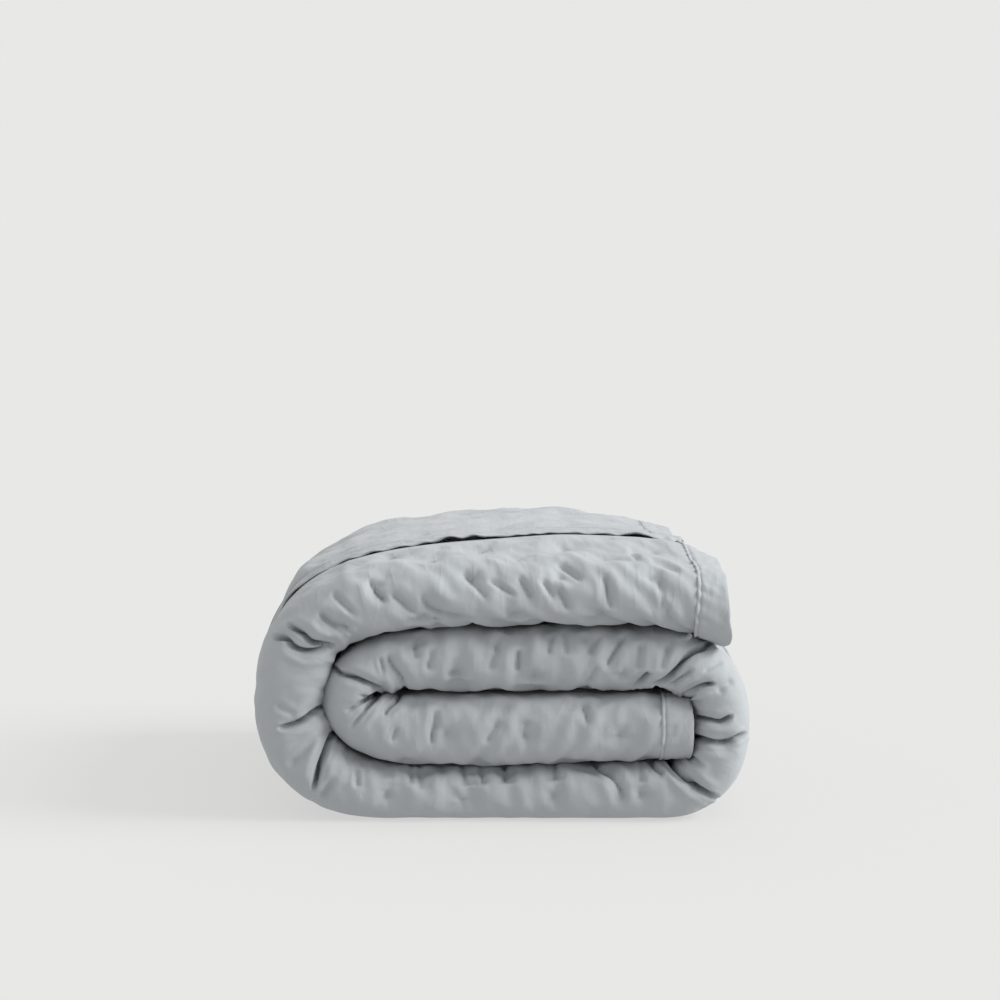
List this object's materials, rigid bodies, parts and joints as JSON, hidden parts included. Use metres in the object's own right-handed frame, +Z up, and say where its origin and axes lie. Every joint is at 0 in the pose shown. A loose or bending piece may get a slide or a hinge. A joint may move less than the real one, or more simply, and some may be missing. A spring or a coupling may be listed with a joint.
{
  "type": "quilt",
  "caption": "Filled bed quilt folded in three across its width and wound into a flattened roll, tacked with small ties and finished with a wide flat binding.",
  "frame": {"origin": "on the floor, under the middle of the roll's bounding box", "axes": "+Z up, -Y towards the front folds that show the roll's spiral, +X along the roll towards its outer end"},
  "size_m": [0.5557, 0.5743, 0.3054],
  "materials": {
    "quilt_cloth": "soft washed plain weave, matt with a faint sheen",
    "binding_cloth": "soft washed plain weave, matt, slightly puckered at its seam"
  },
  "bodies": {
    "root": {"quilt": "quilt_cloth", "binding_outer_end": "binding_cloth", "binding_inner_end": "binding_cloth", "binding_long_edge": "binding_cloth"}
  },
  "joints": []
}
